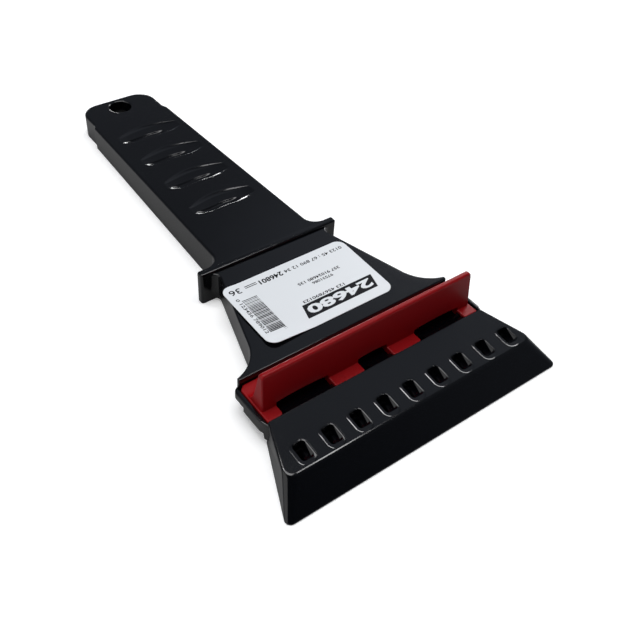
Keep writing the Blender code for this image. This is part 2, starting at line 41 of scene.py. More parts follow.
# All sizes below are in millimetres. Places along the tool count from the blade's edge.
mm = 0.001
under, over = -1.0, 1.0                     # cutters start this far under the tool and end this far over it
along = {"bevel": 8.4, "headTop": 18.6, "channel": 16.6, "neck": 45.1, "guard": 3.1, "handle": 102.5,
         "tab": 16.7}
headBack = along["bevel"] + along["headTop"]
neckFront = headBack + along["channel"]
guardFront = neckFront + along["neck"]
guardBack = guardFront + along["guard"]
handleBack = guardBack + along["handle"]
toolLength = handleBack + along["tab"]
origin = toolLength / 2                     # ringAt puts this distance at Y zero


def yOf(d):
    return (d - origin) * mm


def mix(a, b, t):
    return a + (b - a) * t


def ramp(value, start, end):
    t = min(max((value - start) / (end - start), 0.0), 1.0)
    return 0.5 - 0.5 * cos(pi * t)


# ---- mesh helpers

def arcPoints(cx, cy, radius, start, end, steps):
    # angles in degrees
    points = []
    for i in range(steps + 1):
        a = radians(mix(start, end, i / steps))
        points.append((cx + radius * cos(a), cy + radius * sin(a)))
    return points


def bothSides(right):
    return right + [(-x, d) for x, d in reversed(right)]


def offsetIn(outline, amount):
    # moves a counter-clockwise outline inwards
    moved = []
    for i, point in enumerate(outline):
        here = Vector(point)
        before = (here - Vector(outline[i - 1])).normalized()
        after = (Vector(outline[(i + 1) % len(outline)]) - here).normalized()
        inward = Vector((-before.y - after.y, before.x + after.x)).normalized()
        reach = amount / max(inward.dot(Vector((-before.y, before.x))), 0.5)
        moved.append((here.x + inward.x * reach, here.y + inward.y * reach))
    return moved


def ringAt(outline, height):
    if callable(height):
        return [(x * mm, yOf(d), height(d) * mm) for x, d in outline]
    return [(x * mm, yOf(d), height * mm) for x, d in outline]


def roundBox(cx, cd, halfX, halfD, corner, steps=5):
    r = min(corner, halfX, halfD)
    points = []
    for turn, (sx, sd) in zip((0, 90, 180, 270), ((1, 1), (-1, 1), (-1, -1), (1, -1))):
        points += arcPoints(cx + sx * (halfX - r), cd + sd * (halfD - r), r, turn, turn + 90, steps)
    return points


def meshData(name, mesh):
    data = bpy.data.meshes.new(name)
    mesh.to_mesh(data)
    mesh.free()
    return data


def solidMesh(name, solids):
    # each solid is a list of rings with equal point counts, capped at both ends
    mesh = bmesh.new()
    for rings in solids:
        rows = [[mesh.verts.new(p) for p in ring] for ring in rings]
        count = len(rows[0])
        for low, high in zip(rows, rows[1:]):
            for i in range(count):
                j = (i + 1) % count
                mesh.faces.new((low[i], low[j], high[j], high[i]))
        mesh.faces.new(list(reversed(rows[0])))
        mesh.faces.new(rows[-1])
    bmesh.ops.recalc_face_normals(mesh, faces=mesh.faces)
    flatWithin = 5e-7
    bent = [f for f in mesh.faces if len(f.verts) == 4
            and max(abs((v.co - f.verts[0].co).dot(f.normal)) for v in f.verts) > flatWithin]
    bmesh.ops.triangulate(mesh, faces=bent)
    return meshData(name, mesh)


def rectangle(left, right, front, back):
    return [(left, front), (right, front), (right, back), (left, back)]


def column(outline, low, high):
    return [ringAt(outline, low), ringAt(outline, high)]


def newObject(name, data):
    made = bpy.data.objects.new(name, data)
    bpy.context.collection.objects.link(made)
    return made


def solid(name, solids):
    return newObject(name, solidMesh(name, solids))


def discard(*objects):
    for o in objects:
        data = o.data
        bpy.data.objects.remove(o, do_unlink=True)
        if data and not data.users:
            bpy.data.meshes.remove(data)


def bake(source, name):
    # the evaluated object as a plain mesh
    bpy.context.view_layer.update()
    graph = bpy.context.evaluated_depsgraph_get()
    return newObject(name, bpy.data.meshes.new_from_object(source.evaluated_get(graph)))


add, cut = "UNION", "DIFFERENCE"


def carve(name, stock, steps):
    # joins pieces to the stock or cuts them out of it, in the given order
    for other, operation in steps:
        step = stock.modifiers.new(operation.title(), "BOOLEAN")
        step.operation = operation
        step.solver = "EXACT"
        step.object = other
    made = bake(stock, name)
    discard(stock, *(other for other, operation in steps))
    return made


def roundedSteps(steps):
    # how far a rounded edge has come in and how far it is below its top, as shares of its radius
    angles = [pi / 2 * i / steps for i in range(steps + 1)]
    return [(1 - cos(a), 1 - sin(a)) for a in angles]


def softPrism(outline, bottom, top, rounding, steps):
    # a prism whose top edge is rounded; top is a function of the place along the tool
    rings = [ringAt(outline, bottom)]
    for inward, below in roundedSteps(steps):
        rings.append(ringAt(offsetIn(outline, rounding * inward),
                            lambda d, drop=rounding * below: top(d) - drop))
    return rings


# ---- node helpers

def feed(tree, node, inputs):
    # each input is given a plain value, or the socket that it is linked to
    for key, value in inputs.items():
        if isinstance(value, bpy.types.NodeSocket):
            tree.links.new(value, node.inputs[key])
        else:
            node.inputs[key].default_value = value


def addNode(tree, kind, inputs=None, **settings):
    # returns the new node's outputs
    node = tree.nodes.new(kind)
    for key, value in settings.items():
        setattr(node, key, value)
    feed(tree, node, inputs or {})
    return node.outputs


def reckon(tree, operation, *values, clamp=False):
    return addNode(tree, "ShaderNodeMath", dict(enumerate(values)), operation=operation, use_clamp=clamp)[0]


def smooth(tree, value, start, end, low, high):
    return addNode(tree, "ShaderNodeMapRange", {
        "Value": value, "From Min": start, "From Max": end, "To Min": low, "To Max": high},
        interpolation_type="SMOOTHSTEP")["Result"]


def groupTree(name, kind, inputs, outputs):
    tree = bpy.data.node_groups.new(name, kind)
    for way, sockets in (("INPUT", inputs), ("OUTPUT", outputs)):
        for key, socket in sockets.items():
            tree.interface.new_socket(key, in_out=way, socket_type="NodeSocket" + socket)
    return tree


# ---- a Geometry Nodes tree that sets copies of a piece out in a row

def rowTree():
    # each copy is made narrower along Y by a random share, down to Thinnest
    tree = groupTree("rowOfPieces", "GeometryNodeTree", {
        "Piece": "Object", "Count": "Int", "Start": "Vector", "Step": "Vector", "Thinnest": "Float",
        "Seed": "Int", "Material": "Material"}, {"Geometry": "Geometry"})
    given = addNode(tree, "NodeGroupInput")
    line = addNode(tree, "GeometryNodeMeshLine", {
        "Count": given["Count"], "Start Location": given["Start"], "Offset": given["Step"]}, mode="OFFSET")
    shape = addNode(tree, "GeometryNodeObjectInfo", {"Object": given["Piece"]}, transform_space="ORIGINAL")
    width = addNode(tree, "FunctionNodeRandomValue", {
        2: given["Thinnest"], 3: 1.0, "Seed": given["Seed"]}, data_type="FLOAT")
    scale = addNode(tree, "ShaderNodeCombineXYZ", {"X": 1.0, "Y": width[1], "Z": 1.0})
    copies = addNode(tree, "GeometryNodeInstanceOnPoints", {
        "Points": line["Mesh"], "Instance": shape["Geometry"], "Scale": scale["Vector"]})
    real = addNode(tree, "GeometryNodeRealizeInstances", {"Geometry": copies["Instances"]})
    coat = addNode(tree, "GeometryNodeSetMaterial", {
        "Geometry": real["Geometry"], "Material": given["Material"]})
    addNode(tree, "NodeGroupOutput", {"Geometry": coat["Geometry"]})
    return tree


rowOfPieces = rowTree()


def layOut(name, data, count, start, step, material, thinnest=1.0, seed=7):
    # start and step are in millimetres; the piece is drawn around the origin
    piece = newObject(name + "One", data)
    carrier = newObject(name + "Row", bpy.data.meshes.new(name + "Row"))
    nodes = carrier.modifiers.new("Row", "NODES")
    nodes.node_group = rowOfPieces
    values = {"Piece": piece, "Count": count, "Start": [v * mm for v in start],
              "Step": [v * mm for v in step], "Thinnest": thinnest, "Seed": seed, "Material": material}
    for item in rowOfPieces.interface.items_tree:
        if item.in_out == "INPUT":
            nodes[item.identifier] = values[item.name]
    made = bake(carrier, name)
    discard(carrier, piece)
    return made


# ---- materials

# noise scales are per metre; the streaks are long and thin
surface = {"clouds": 55.0, "swell": 70.0, "swellHeight": 9.0, "grain": 900.0, "bumpDistance": 0.00001,
           "streaks": (2600.0, 90.0, 2600.0), "streakTurn": 0.6, "streakSpan": (0.62, 0.78),
           "scratchColour": (0.02, 0.02, 0.022, 1.0)}


def tintGroup():
    # colour and roughness that vary softly, as on moulded plastic that has been handled
    tree = groupTree("handledSurface", "ShaderNodeTree", {
        "Colour": "Color", "Roughness": "Float", "Cloudiness": "Float", "Scratches": "Float",
        "Bump": "Float"}, {"Colour": "Color", "Roughness": "Float", "Normal": "Vector"})
    given = addNode(tree, "NodeGroupInput")
    place = addNode(tree, "ShaderNodeTexCoord")["Object"]

    def noise(scale, detail, where):
        return addNode(tree, "ShaderNodeTexNoise", {
            "Scale": scale, "Detail": detail, "Vector": where})["Fac"]
    clouds = reckon(tree, "SUBTRACT", noise(surface["clouds"], 3.0, place), 0.5)
    rough = reckon(tree, "ADD", given["Roughness"], reckon(tree, "MULTIPLY", clouds, given["Cloudiness"]))
    turned = addNode(tree, "ShaderNodeMapping", {
        "Vector": place, "Rotation": (0.0, 0.0, surface["streakTurn"]), "Scale": surface["streaks"]})
    fine = addNode(tree, "ShaderNodeMapRange", {
        "Value": noise(1.0, 2.0, turned["Vector"]),
        "From Min": surface["streakSpan"][0], "From Max": surface["streakSpan"][1]})
    worn = reckon(tree, "MULTIPLY", fine["Result"], given["Scratches"])
    pale = addNode(tree, "ShaderNodeMix", {
        "Factor": worn, "A": given["Colour"], "B": surface["scratchColour"]},
        data_type="RGBA", blend_type="ADD")
    height = reckon(tree, "MULTIPLY_ADD", noise(surface["swell"], 1.0, place), surface["swellHeight"],
                    noise(surface["grain"], 2.0, place))
    bump = addNode(tree, "ShaderNodeBump", {
        "Distance": surface["bumpDistance"], "Strength": given["Bump"], "Height": height})
    addNode(tree, "NodeGroupOutput", {
        "Colour": pale["Result"], "Roughness": reckon(tree, "ADD", rough, worn, clamp=True),
        "Normal": bump["Normal"]})
    return tree


handledSurface = tintGroup()


def plasticMaterial(name, colour, roughness, cloudiness, scratches, bump, specular=0.5):
    made = bpy.data.materials.new(name)
    made.use_nodes = True
    tree = made.node_tree
    handled = addNode(tree, "ShaderNodeGroup", {
        "Colour": (*colour, 1.0), "Roughness": roughness, "Cloudiness": cloudiness,
        "Scratches": scratches, "Bump": bump}, node_tree=handledSurface)
    feed(tree, tree.nodes["Principled BSDF"], {
        "Base Color": handled["Colour"], "Roughness": handled["Roughness"], "Normal": handled["Normal"],
        "Specular IOR Level": specular})
    made.diffuse_color = (*colour, 1.0)
    return made


def coatWith(piece, material):
    piece.data.materials.clear()
    piece.data.materials.append(material)


blackPlastic = plasticMaterial("blackPlastic", (0.0008, 0.0010, 0.0017), 0.11, 0.08, 0.05, 0.5)
redPlastic = plasticMaterial("redPlastic", (0.222, 0.0012, 0.0030), 0.34, 0.12, 0.05, 0.4, 0.20)
labelFilm = plasticMaterial("labelFilm", (0.645, 0.67, 0.695), 0.38, 0.10, 0.0, 0.3)
labelInk = plasticMaterial("labelInk", (0.010, 0.010, 0.012), 0.5, 0.10, 0.0, 0.2, 0.06)
print("materials made")


# ---- black body

body = {
    "bladeWidth": 110.5, "bladeCorner": 1.9, "land": 0.5, "headFrontWidth": 99.8, "headBackWidth": 86.4,
    "headFrontHeight": 8.3, "headBackHeight": 9.9, "headCorner": 3.0, "tongue": 2.2, "topEdge": 0.55,
    "edgeTall": 1.3, "edgeWide": 0.7, "facet": 0.26, "facetTilt": 17.0, "facetHold": 0.03,
    "facetSinks": (0.012, 0.007), "trayWidth": 89.2, "trayHeight": 9.0, "trayCorner": 2.4, "trayEdge": 0.5,
    "trayOverlap": 0.6, "trayReach": 2.0, "trayWall": 1.2, "trayRelief": 4.6, "reliefRuns": (0.8, 2.0, 3.6),
    "flangeRelief": 6.4, "flangeSetback": 5.8, "flangeWall": 0.6, "neckFrontWidth": 85.2,
    "neckWaistWidth": 63.6, "neckBackWidth": 43.8, "neckHeight": 11.7, "neckRelief": 0.9, "neckFillet": 2.5,
    "shoulderRadius": 14.6, "shoulderRun": 11.4, "neckEdge": 0.8, "neckRounding": 0.56,
    "neckSteps": ((1.2, 0.0), (0.4, 0.125), (0.12, 0.8)), "guardWidth": 57.2, "guardHeight": 12.9,
    "guardCorner": 0.9, "guardFillet": 5.0, "handleFrontWidth": 39.4, "handleBackWidth": 34.1,
    "handleEdge": 0.9, "handleSteps": ((-0.15, -0.4), (-0.45, 0.15)), "tabWidth": 31.8, "tabHeight": 9.4,
    "tabCorner": 7.7, "notch": 2.0, "tabSteps": ((0.15, -0.3), (0.0, 0.3)), "topWall": 2.4,
    "sideWall": 2.0, "bladeWall": 2.4, "rib": 1.6, "handleBays": 6, "neckRibPitch": 11.0,
    "trayRibPitch": 15.0, "floor": 1.6, "seam": 0.03}


def handleHalf(d):
    share = (d - guardFront) / (handleBack - guardFront)
    return mix(body["handleFrontWidth"], body["handleBackWidth"], share) / 2


def handleTop(d):
    return mix(body["guardHeight"], body["tabHeight"], (d - guardFront) / (toolLength - guardFront))


def handleRoof(d):
    return handleTop(d) - body["topWall"]


def headTop(d):
    return mix(body["headFrontHeight"], body["headBackHeight"], (d - along["bevel"]) / along["headTop"])


bevelSlope = (body["headFrontHeight"] - body["land"]) / along["bevel"]
bevelSine = sin(atan(bevelSlope))
handleLean = handleTop(1) - handleTop(0)
neckWaist = neckFront + body["shoulderRun"]
neckSlope = (body["neckWaistWidth"] - body["neckBackWidth"]) / 2 / (guardFront - neckWaist)
neckLean = degrees(atan(neckSlope))
tongueBack = headBack + body["tongue"]


def neckHalf(d):
    return body["neckBackWidth"] / 2 + (guardFront - d) * neckSlope


# the middle of the hollow curve of the shoulder
shoulderX = neckHalf(neckWaist) + body["shoulderRadius"] * cos(radians(neckLean))
shoulderD = neckWaist + body["shoulderRadius"] * sin(radians(neckLean))


def handleOutline():
    corner, fillet, tabCorner = body["guardCorner"], body["guardFillet"], body["tabCorner"]
    half, tabHalf = body["guardWidth"] / 2, body["tabWidth"] / 2
    side = handleHalf(guardBack)
    right = arcPoints(half - corner, guardFront + corner, corner, -90, 0, 5)
    right += arcPoints(half - corner, guardBack - corner, corner, 0, 90, 5)
    right += arcPoints(side + fillet, guardBack + fillet, fillet, -90, -180, 12)
    right += [(handleHalf(handleBack) + x, handleBack + d) for x, d in body["handleSteps"]]
    right += [(tabHalf + x, handleBack + body["notch"] + d) for x, d in body["tabSteps"]]
    right += arcPoints(tabHalf - tabCorner, toolLength - tabCorner, tabCorner, 0, 90, 18)
    return bothSides(right)


def neckOutline():
    half, edge = body["neckFrontWidth"] / 2, body["neckEdge"]
    radius, fillet = body["shoulderRadius"], body["neckFillet"]
    lean = radians(neckLean)
    right = [(half - edge * x, neckFront + edge * d) for x, d in body["neckSteps"]]
    # a negative radius draws the hollow side
    last = degrees(acos((shoulderX - half + edge / 2) / radius))
    right += arcPoints(shoulderX, shoulderD, -radius, last, neckLean, 18)
    filletX = body["neckBackWidth"] / 2 + fillet * (tan(lean) + 1 / cos(lean))
    right += arcPoints(filletX, guardFront - fillet, -fillet, neckLean, -90, 8)
    right.append((filletX, guardFront + along["guard"] / 2))
    return bothSides(right)


def headLoop(front, frontHalf, backHalf, corner):
    turn = degrees(atan((frontHalf - backHalf) / (tongueBack - front)))
    t = radians(turn)
    cx = frontHalf - corner * (1 + sin(t)) / cos(t)
    right = arcPoints(cx, front + corner, corner, -90, turn, 12)
    right.append((backHalf, tongueBack))
    return bothSides(right)


def headSolid():
    slope = (body["headFrontWidth"] - body["headBackWidth"]) / 2 / along["headTop"]
    backHalf = body["headFrontWidth"] / 2 - slope * (tongueBack - along["bevel"])
    low = headLoop(0.0, body["bladeWidth"] / 2, backHalf, body["bladeCorner"])
    high = headLoop(along["bevel"], body["headFrontWidth"] / 2, backHalf, body["headCorner"])
    facet, hold = body["facet"], body["facetHold"]
    wide, tall = body["topEdge"] * body["edgeWide"], body["topEdge"] * body["edgeTall"]
    facetDrop = facet * tan(radians(body["facetTilt"]))
    rings = [ringAt(low, 0.0), ringAt(low, body["land"])]

    def addRing(outline, inward, drop):
        rings.append(ringAt(offsetIn(outline, inward), lambda d: headTop(d) - drop))
    for inward, below in roundedSteps(4):
        t = tall * below / body["headFrontHeight"]
        blended = [(mix(p[0], q[0], t), mix(p[1], q[1], t)) for p, q in zip(high, low)]
        addRing(blended, wide * inward, tall * below + facetDrop)
    # close rings hold the facet flat
    addRing(high, wide + hold, facetDrop - body["facetSinks"][0])
    addRing(high, wide + facet - hold, body["facetSinks"][1])
    addRing(high, wide + facet, 0.0)
    return rings


def headHollow():
    back = headBack - body["sideWall"]
    setBack = body["bladeWall"] / bevelSine
    rise = body["headFrontHeight"] - body["topWall"]
    taper = atan((body["bladeWidth"] - body["headBackWidth"]) / 2 / headBack)
    wall = body["sideWall"] / cos(taper)

    def half(d, lift):
        front = mix(body["bladeWidth"], body["headFrontWidth"], lift) / 2
        return mix(front, body["headBackWidth"] / 2, d / headBack) - wall
    lowFront = setBack + under / bevelSlope
    highFront = setBack + rise / bevelSlope
    low = [(half(lowFront, 0), lowFront), (half(back, 0), back)]
    high = [(half(highFront, 0), highFront), (half(back, 0), back)]
    return [ringAt(bothSides(low), under), ringAt(bothSides(high), lambda d: headTop(d) - body["topWall"])]


def pairs(outlines, roof):
    # cutters on both sides of the middle, from under the tool up to the roof
    return [column([(side * x, d) for x, d in outline], under, roof)
            for side in (-1, 1) for outline in outlines]


def handleHollows():
    rib, wall = body["rib"], body["sideWall"]
    bay = (along["handle"] - (body["handleBays"] - 1) * rib) / body["handleBays"]
    solids = []
    for i in range(body["handleBays"]):
        front = guardBack + i * (bay + rib)
        back = front + bay
        solids += pairs([[(rib / 2, front), (handleHalf(front) - wall, front),
                          (handleHalf(back) - wall, back), (rib / 2, back)]], handleRoof)
    half, corner, end = body["tabWidth"] / 2 - wall, body["tabCorner"] - wall, toolLength - wall
    tab = [(half, handleBack + rib)] + arcPoints(half - corner, end - corner, corner, 0, 90, 8)
    solids.append(column(bothSides(tab), under, handleRoof))
    return solids


def neckHollows():
    rib, wall, pitch = body["rib"], body["sideWall"], body["neckRibPitch"]
    front, back = neckFront + wall, guardFront
    frontEnd, backStart = (front + back) / 2 - rib / 2, (front + back) / 2 + rib / 2
    inner, wing = pitch + rib / 2, 2 * pitch + rib / 2
    radius = body["shoulderRadius"] + wall
    first = degrees(asin(min((shoulderD - front) / radius, 1.0)))
    sweep = arcPoints(shoulderX, shoulderD, -radius, first, neckLean, 10)
    return pairs((
        rectangle(rib / 2, pitch - rib / 2, front, frontEnd),
        rectangle(rib / 2, pitch - rib / 2, backStart, back),
        rectangle(inner, 2 * pitch - rib / 2, front, frontEnd),
        [(inner, backStart), (neckHalf(backStart) - wall, backStart), (neckHalf(back) - wall, back),
         (inner, back)],
        [(wing, front)] + sweep + [(neckHalf(frontEnd) - wall, frontEnd), (wing, frontEnd)]),
        body["neckHeight"] - body["topWall"])


insert = {
    "gap": 0.3, "shift": -0.5, "width": 84.8, "plate": 2.2, "top": 9.5, "corner": 1.6, "edge": 0.35,
    "slack": 2.2, "finHeight": 13.8, "finSetback": 4.1, "finLean": 1.3, "finTop": 2.0, "finRoot": 6.2,
    "finBow": 0.75, "rootFillet": 2.4, "endInset": 0.5, "endDraft": 0.6, "finEdge": 0.35, "finCorner": 1.3,
    "tipThin": 0.75, "endTab": 5.6, "endNick": 0.8, "midTab": 11.5, "midNick": 0.5, "midPlace": 11.65,
    "gusset": (3.6, 1.8), "recess": 2.6, "recessRise": 1.3, "recessArch": 0.6,
    "markRadius": 1.25, "markCorner": 1.225, "markSink": 0.1, "markSetback": 1.7, "markPlace": 14.1}
channelFloor = insert["top"] - insert["plate"] - insert["gap"]
channelHalf = insert["width"] / 2 - insert["shift"] + insert["gap"]


def tabSpans():
    half, place, width = insert["width"] / 2, insert["midPlace"], insert["midTab"] / 2
    spans = [(-half, insert["endTab"] - half), (-place - width, -place + width),
             (place - width, place + width), (half - insert["endTab"], half)]
    return [(a + insert["shift"], b + insert["shift"]) for a, b in spans]


tabs = tabSpans()


def trayBays():
    half, wall = body["rib"] / 2, channelHalf - body["trayWall"]
    edges = [-wall]
    for step in range(-2, 4):
        middle = (step - 0.5) * body["trayRibPitch"]
        edges += [middle - half, middle + half]
    edges.append(wall)
    solids = [column(rectangle(a, b, tongueBack, neckFront), under, channelFloor - body["floor"])
              for a, b in zip(edges[::2], edges[1::2])]
    for side in (-1, 1):
        flange = rectangle(side * (channelHalf - body["flangeWall"]), side * (body["trayWidth"] / 2 + over),
                           neckFront - body["flangeSetback"], neckFront + body["trayCorner"] / 2)
        solids.append(column(flange, 0.0, body["flangeRelief"]))
    return solids


def acrossTool(half, profile):
    # a profile of places and heights, drawn out to both sides
    return [[(side * half * mm, yOf(d), z * mm) for d, z in profile] for side in (-1, 1)]


def reliefCut():
    first, second, third = body["reliefRuns"]
    back = guardFront - body["seam"]
    return acrossTool(body["bladeWidth"] / 2, [
        (headBack, under), (headBack, 0.0), (headBack + first, body["trayRelief"]),
        (neckFront + second, body["trayRelief"]), (neckFront + third, body["neckRelief"]),
        (back, body["neckRelief"]), (back, under)])


def channelCut():
    gap, slack = insert["gap"], insert["slack"]
    first = tabs[0][1] + slack / 2
    outline = [(-channelHalf, headBack), (first, headBack), (first, tongueBack)]
    for a, b in tabs[1:3]:
        outline += [(a - gap, tongueBack), (a - gap, headBack), (b + slack, headBack),
                    (b + slack, tongueBack)]
    last = tabs[3][0] - gap
    gussetX, gussetD = insert["gusset"]
    outline += [(last - gussetX, tongueBack), (last, tongueBack + gussetD), (last, headBack),
                (channelHalf, headBack), (channelHalf, neckFront), (-channelHalf, neckFront)]
    return column(outline, channelFloor, body["neckHeight"] + over)


tongue = {"frontDrop": -0.5, "backDrop": -1.6, "clear": 2.0, "frontInset": 0.02, "backReach": 0.2,
          "sideInset": 0.1}


def tongueCut():
    # the tongues under the fin slope down to the back
    front, back = headBack + tongue["frontInset"], tongueBack + tongue["backReach"]
    drops = ((front, tongue["frontDrop"]), (back, tongue["backDrop"]), (back, tongue["clear"]),
             (front, tongue["clear"]))
    return acrossTool(channelHalf - tongue["sideInset"], [(d, headTop(d) + drop) for d, drop in drops])


def trayBlock():
    half, corner = body["trayWidth"] / 2, body["trayCorner"]
    right = [(body["headBackWidth"] / 2, headBack - body["trayReach"]), (half, tongueBack)]
    right += arcPoints(half - corner, neckFront + body["trayOverlap"] - corner, corner, 0, 90, 8)
    return softPrism(bothSides(right), body["trayRelief"] / 2, lambda d: body["trayHeight"],
                     body["trayEdge"], 3)


teeth = {"count": 9, "pitch": 10.35, "setback": 4.7, "tip": 1.6, "tipHeight": 0.4, "tipCorner": 0.4,
         "root": (4.0, 5.1, 1.2), "ribLow": 3.0, "ribSink": 1.2, "ribBack": 1.0}
pocket = {"shift": 1.17, "back": 0.45, "halfWidth": 3.13, "halfLength": 4.5, "corner": 2.6,
          "mouthCorner": 1.0, "lips": (1.26, 0.70, 1.80, 1.10), "rim": 0.38, "rimTilt": 14.5,
          "rimShare": 0.6, "fallLeast": 0.12, "fallSpan": (-0.5, 0.6), "shrink": 0.75, "shelf": 1.75,
          "shelfTilt": 0.45, "wellDepth": 5.6, "wellTop": 0.62, "wellShare": 0.3, "wellShift": (-0.2, -0.1),
          "well": ((-1.7, -1.4), (-1.45, -2.2), (-0.9, -2.35), (0.8, 1.35), (2.25, 1.35), (2.25, 2.4),
                   (1.5, 3.1), (-1.0, 3.1), (-1.7, 2.3)),
          "sharpHalfX": 2.6, "sharpHalfD": 3.4, "sharpShift": 0.65, "sharpLow": 2.4, "sharpSink": 0.04}
# how far across each ring lies, its share of the rim's fall, and its drop below that
rimRings = ((-0.06, 0, -1.0), (-0.06, 0, -0.006), (0.06, 0, 0.004), (0.14, 0.14, 0.004),
            (0.92, 0.92, 0.004), (1, 1, 0.004))
lipRings = ((0.06, 1, 0.008), (0.2, 1, 0.018), (0.7, 1, 0.03), (0.94, 1, 0.05), (1, 1, 0.3))
toothLine = along["bevel"] + teeth["setback"]


def toothShape():
    tip = teeth["tip"] / 2
    return [ringAt(roundBox(0, origin, tip, tip, teeth["tipCorner"]), teeth["tipHeight"]),
            ringAt(roundBox(0, origin, *teeth["root"]), headTop(toothLine) - body["topWall"] / 2)]


def pocketTop(d):
    # height of the head's top under a pocket that is drawn at the origin
    return headTop(toothLine) + (d - origin) * (headTop(1) - headTop(0))


def pocketShape():
    # a rim that slopes steadily on the left and in front, a nearly flat lip, the mouth in it and a shelf
    left, right, front, rear = pocket["lips"]
    halfX, halfD, rim, shrink = (pocket[key] for key in ("halfWidth", "halfLength", "rim", "shrink"))
    corner, mouthCorner, share = pocket["corner"], pocket["mouthCorner"], pocket["rimShare"]
    fall = rim * tan(radians(pocket["rimTilt"]))

    def loop(west, east, south, north, corner):
        return roundBox((west - east) / 2, origin + (south - north) / 2, halfX - (west + east) / 2,
                        halfD - (south + north) / 2, corner, 8)

    def between(one, two, t, share, drop):
        # the rim falls fully on the left and in front, and hardly elsewhere
        ring = []
        for p, q in zip(one, two):
            x, d = mix(p[0], q[0], t), mix(p[1], q[1], t)
            near = ramp(-x / halfX - (d - origin) / halfD, *pocket["fallSpan"])
            side = mix(pocket["fallLeast"], 1.0, near)
            ring.append((x * mm, yOf(d), (pocketTop(d) - fall * share * side - drop) * mm))
        return ring
    outer = loop(0, 0, 0, 0, corner)
    inside = loop(rim, right * share, rim, rear * share, corner - rim)
    mouth = loop(left, right, front, rear, mouthCorner)
    foot = loop(left + shrink, right + shrink, front + shrink, rear + shrink, mouthCorner - shrink)
    rings = [between(outer, inside, *row) for row in rimRings]
    rings += [between(inside, mouth, *row) for row in lipRings]
    rings.append(ringAt(foot, lambda d: (
        pocketTop(d) - pocket["shelf"] - (d - origin) * pocket["shelfTilt"])))
    return list(reversed(rings))


def wellShape():
    # the deep part behind and beside the shelf
    share = pocket["wellShare"]
    shiftX, shiftD = pocket["wellShift"]
    top = pocketTop(origin)
    low = [(x * share + shiftX, d * share + shiftD + origin) for x, d in pocket["well"]]
    high = [(x, d + origin) for x, d in pocket["well"]]
    return [ringAt(low, top - pocket["wellDepth"]), ringAt(high, top - pocket["wellTop"])]


def headRibs():
    setBack = body["bladeWall"] / 2 / bevelSine
    lowFront = setBack + teeth["ribLow"] / bevelSlope
    highFront = setBack + (body["headFrontHeight"] - teeth["ribSink"]) / bevelSlope
    back = headBack - teeth["ribBack"]
    solids = []
    for i in range(teeth["count"] - 1):
        x = (i - teeth["count"] / 2 + 1) * teeth["pitch"]
        left, right = x - body["rib"] / 2, x + body["rib"] / 2
        low, high = (rectangle(left, right, front, back) for front in (lowFront, highFront))
        solids.append([ringAt(low, teeth["ribLow"]), ringAt(high, lambda d: headTop(d) - teeth["ribSink"])])
    return solids


hole = {"diameter": 9.2, "setback": 7.0, "sink": 0.7, "bossWall": 2.0, "bossInset": 1.0, "bossLow": 0.5,
        "bossSink": 1.2}
holeLine = toolLength - hole["setback"]


def circleAt(d, radius, steps=48):
    return arcPoints(0, d, radius, 0, 360 * (steps - 1) / steps, steps - 1)


def holeBoss():
    ring = [(x, min(d, toolLength - hole["bossInset"]))
            for x, d in circleAt(holeLine, hole["diameter"] / 2 + hole["bossWall"])]
    return column(ring, hole["bossLow"], handleTop(holeLine) - hole["bossSink"])


def holeCut():
    # a bore with a rounded upper edge
    radius, sink = hole["diameter"] / 2, hole["sink"]
    rings = [ringAt(circleAt(holeLine, radius), under)]
    for outward, below in roundedSteps(4):
        rings.append(ringAt(circleAt(holeLine, radius + sink * outward),
                            lambda d, drop=sink * below: handleTop(d) - drop))
    rings.append(ringAt(circleAt(holeLine, radius + sink), lambda d: handleTop(d) + over))
    return rings


grip = {"count": 4, "setback": 25.8, "pitch": 19.0, "halfWidth": 14.6, "bow": 4.6, "shift": 0.7,
        "columns": 56, "rise": 0.8, "endRise": 0.2, "endShare": 0.3, "slope": 2.0, "slopeHollow": 0.10,
        "terrace": 3.9, "terraceDepth": 0.7, "step": 0.8, "dish": 1.2, "dishDepth": 1.3, "dishHalf": 9.6,
        "dishShift": -2.0, "dishEase": 0.8, "front": 3.6, "frontShare": 0.62, "frontRise": 0.03,
        "frontEase": -0.35}


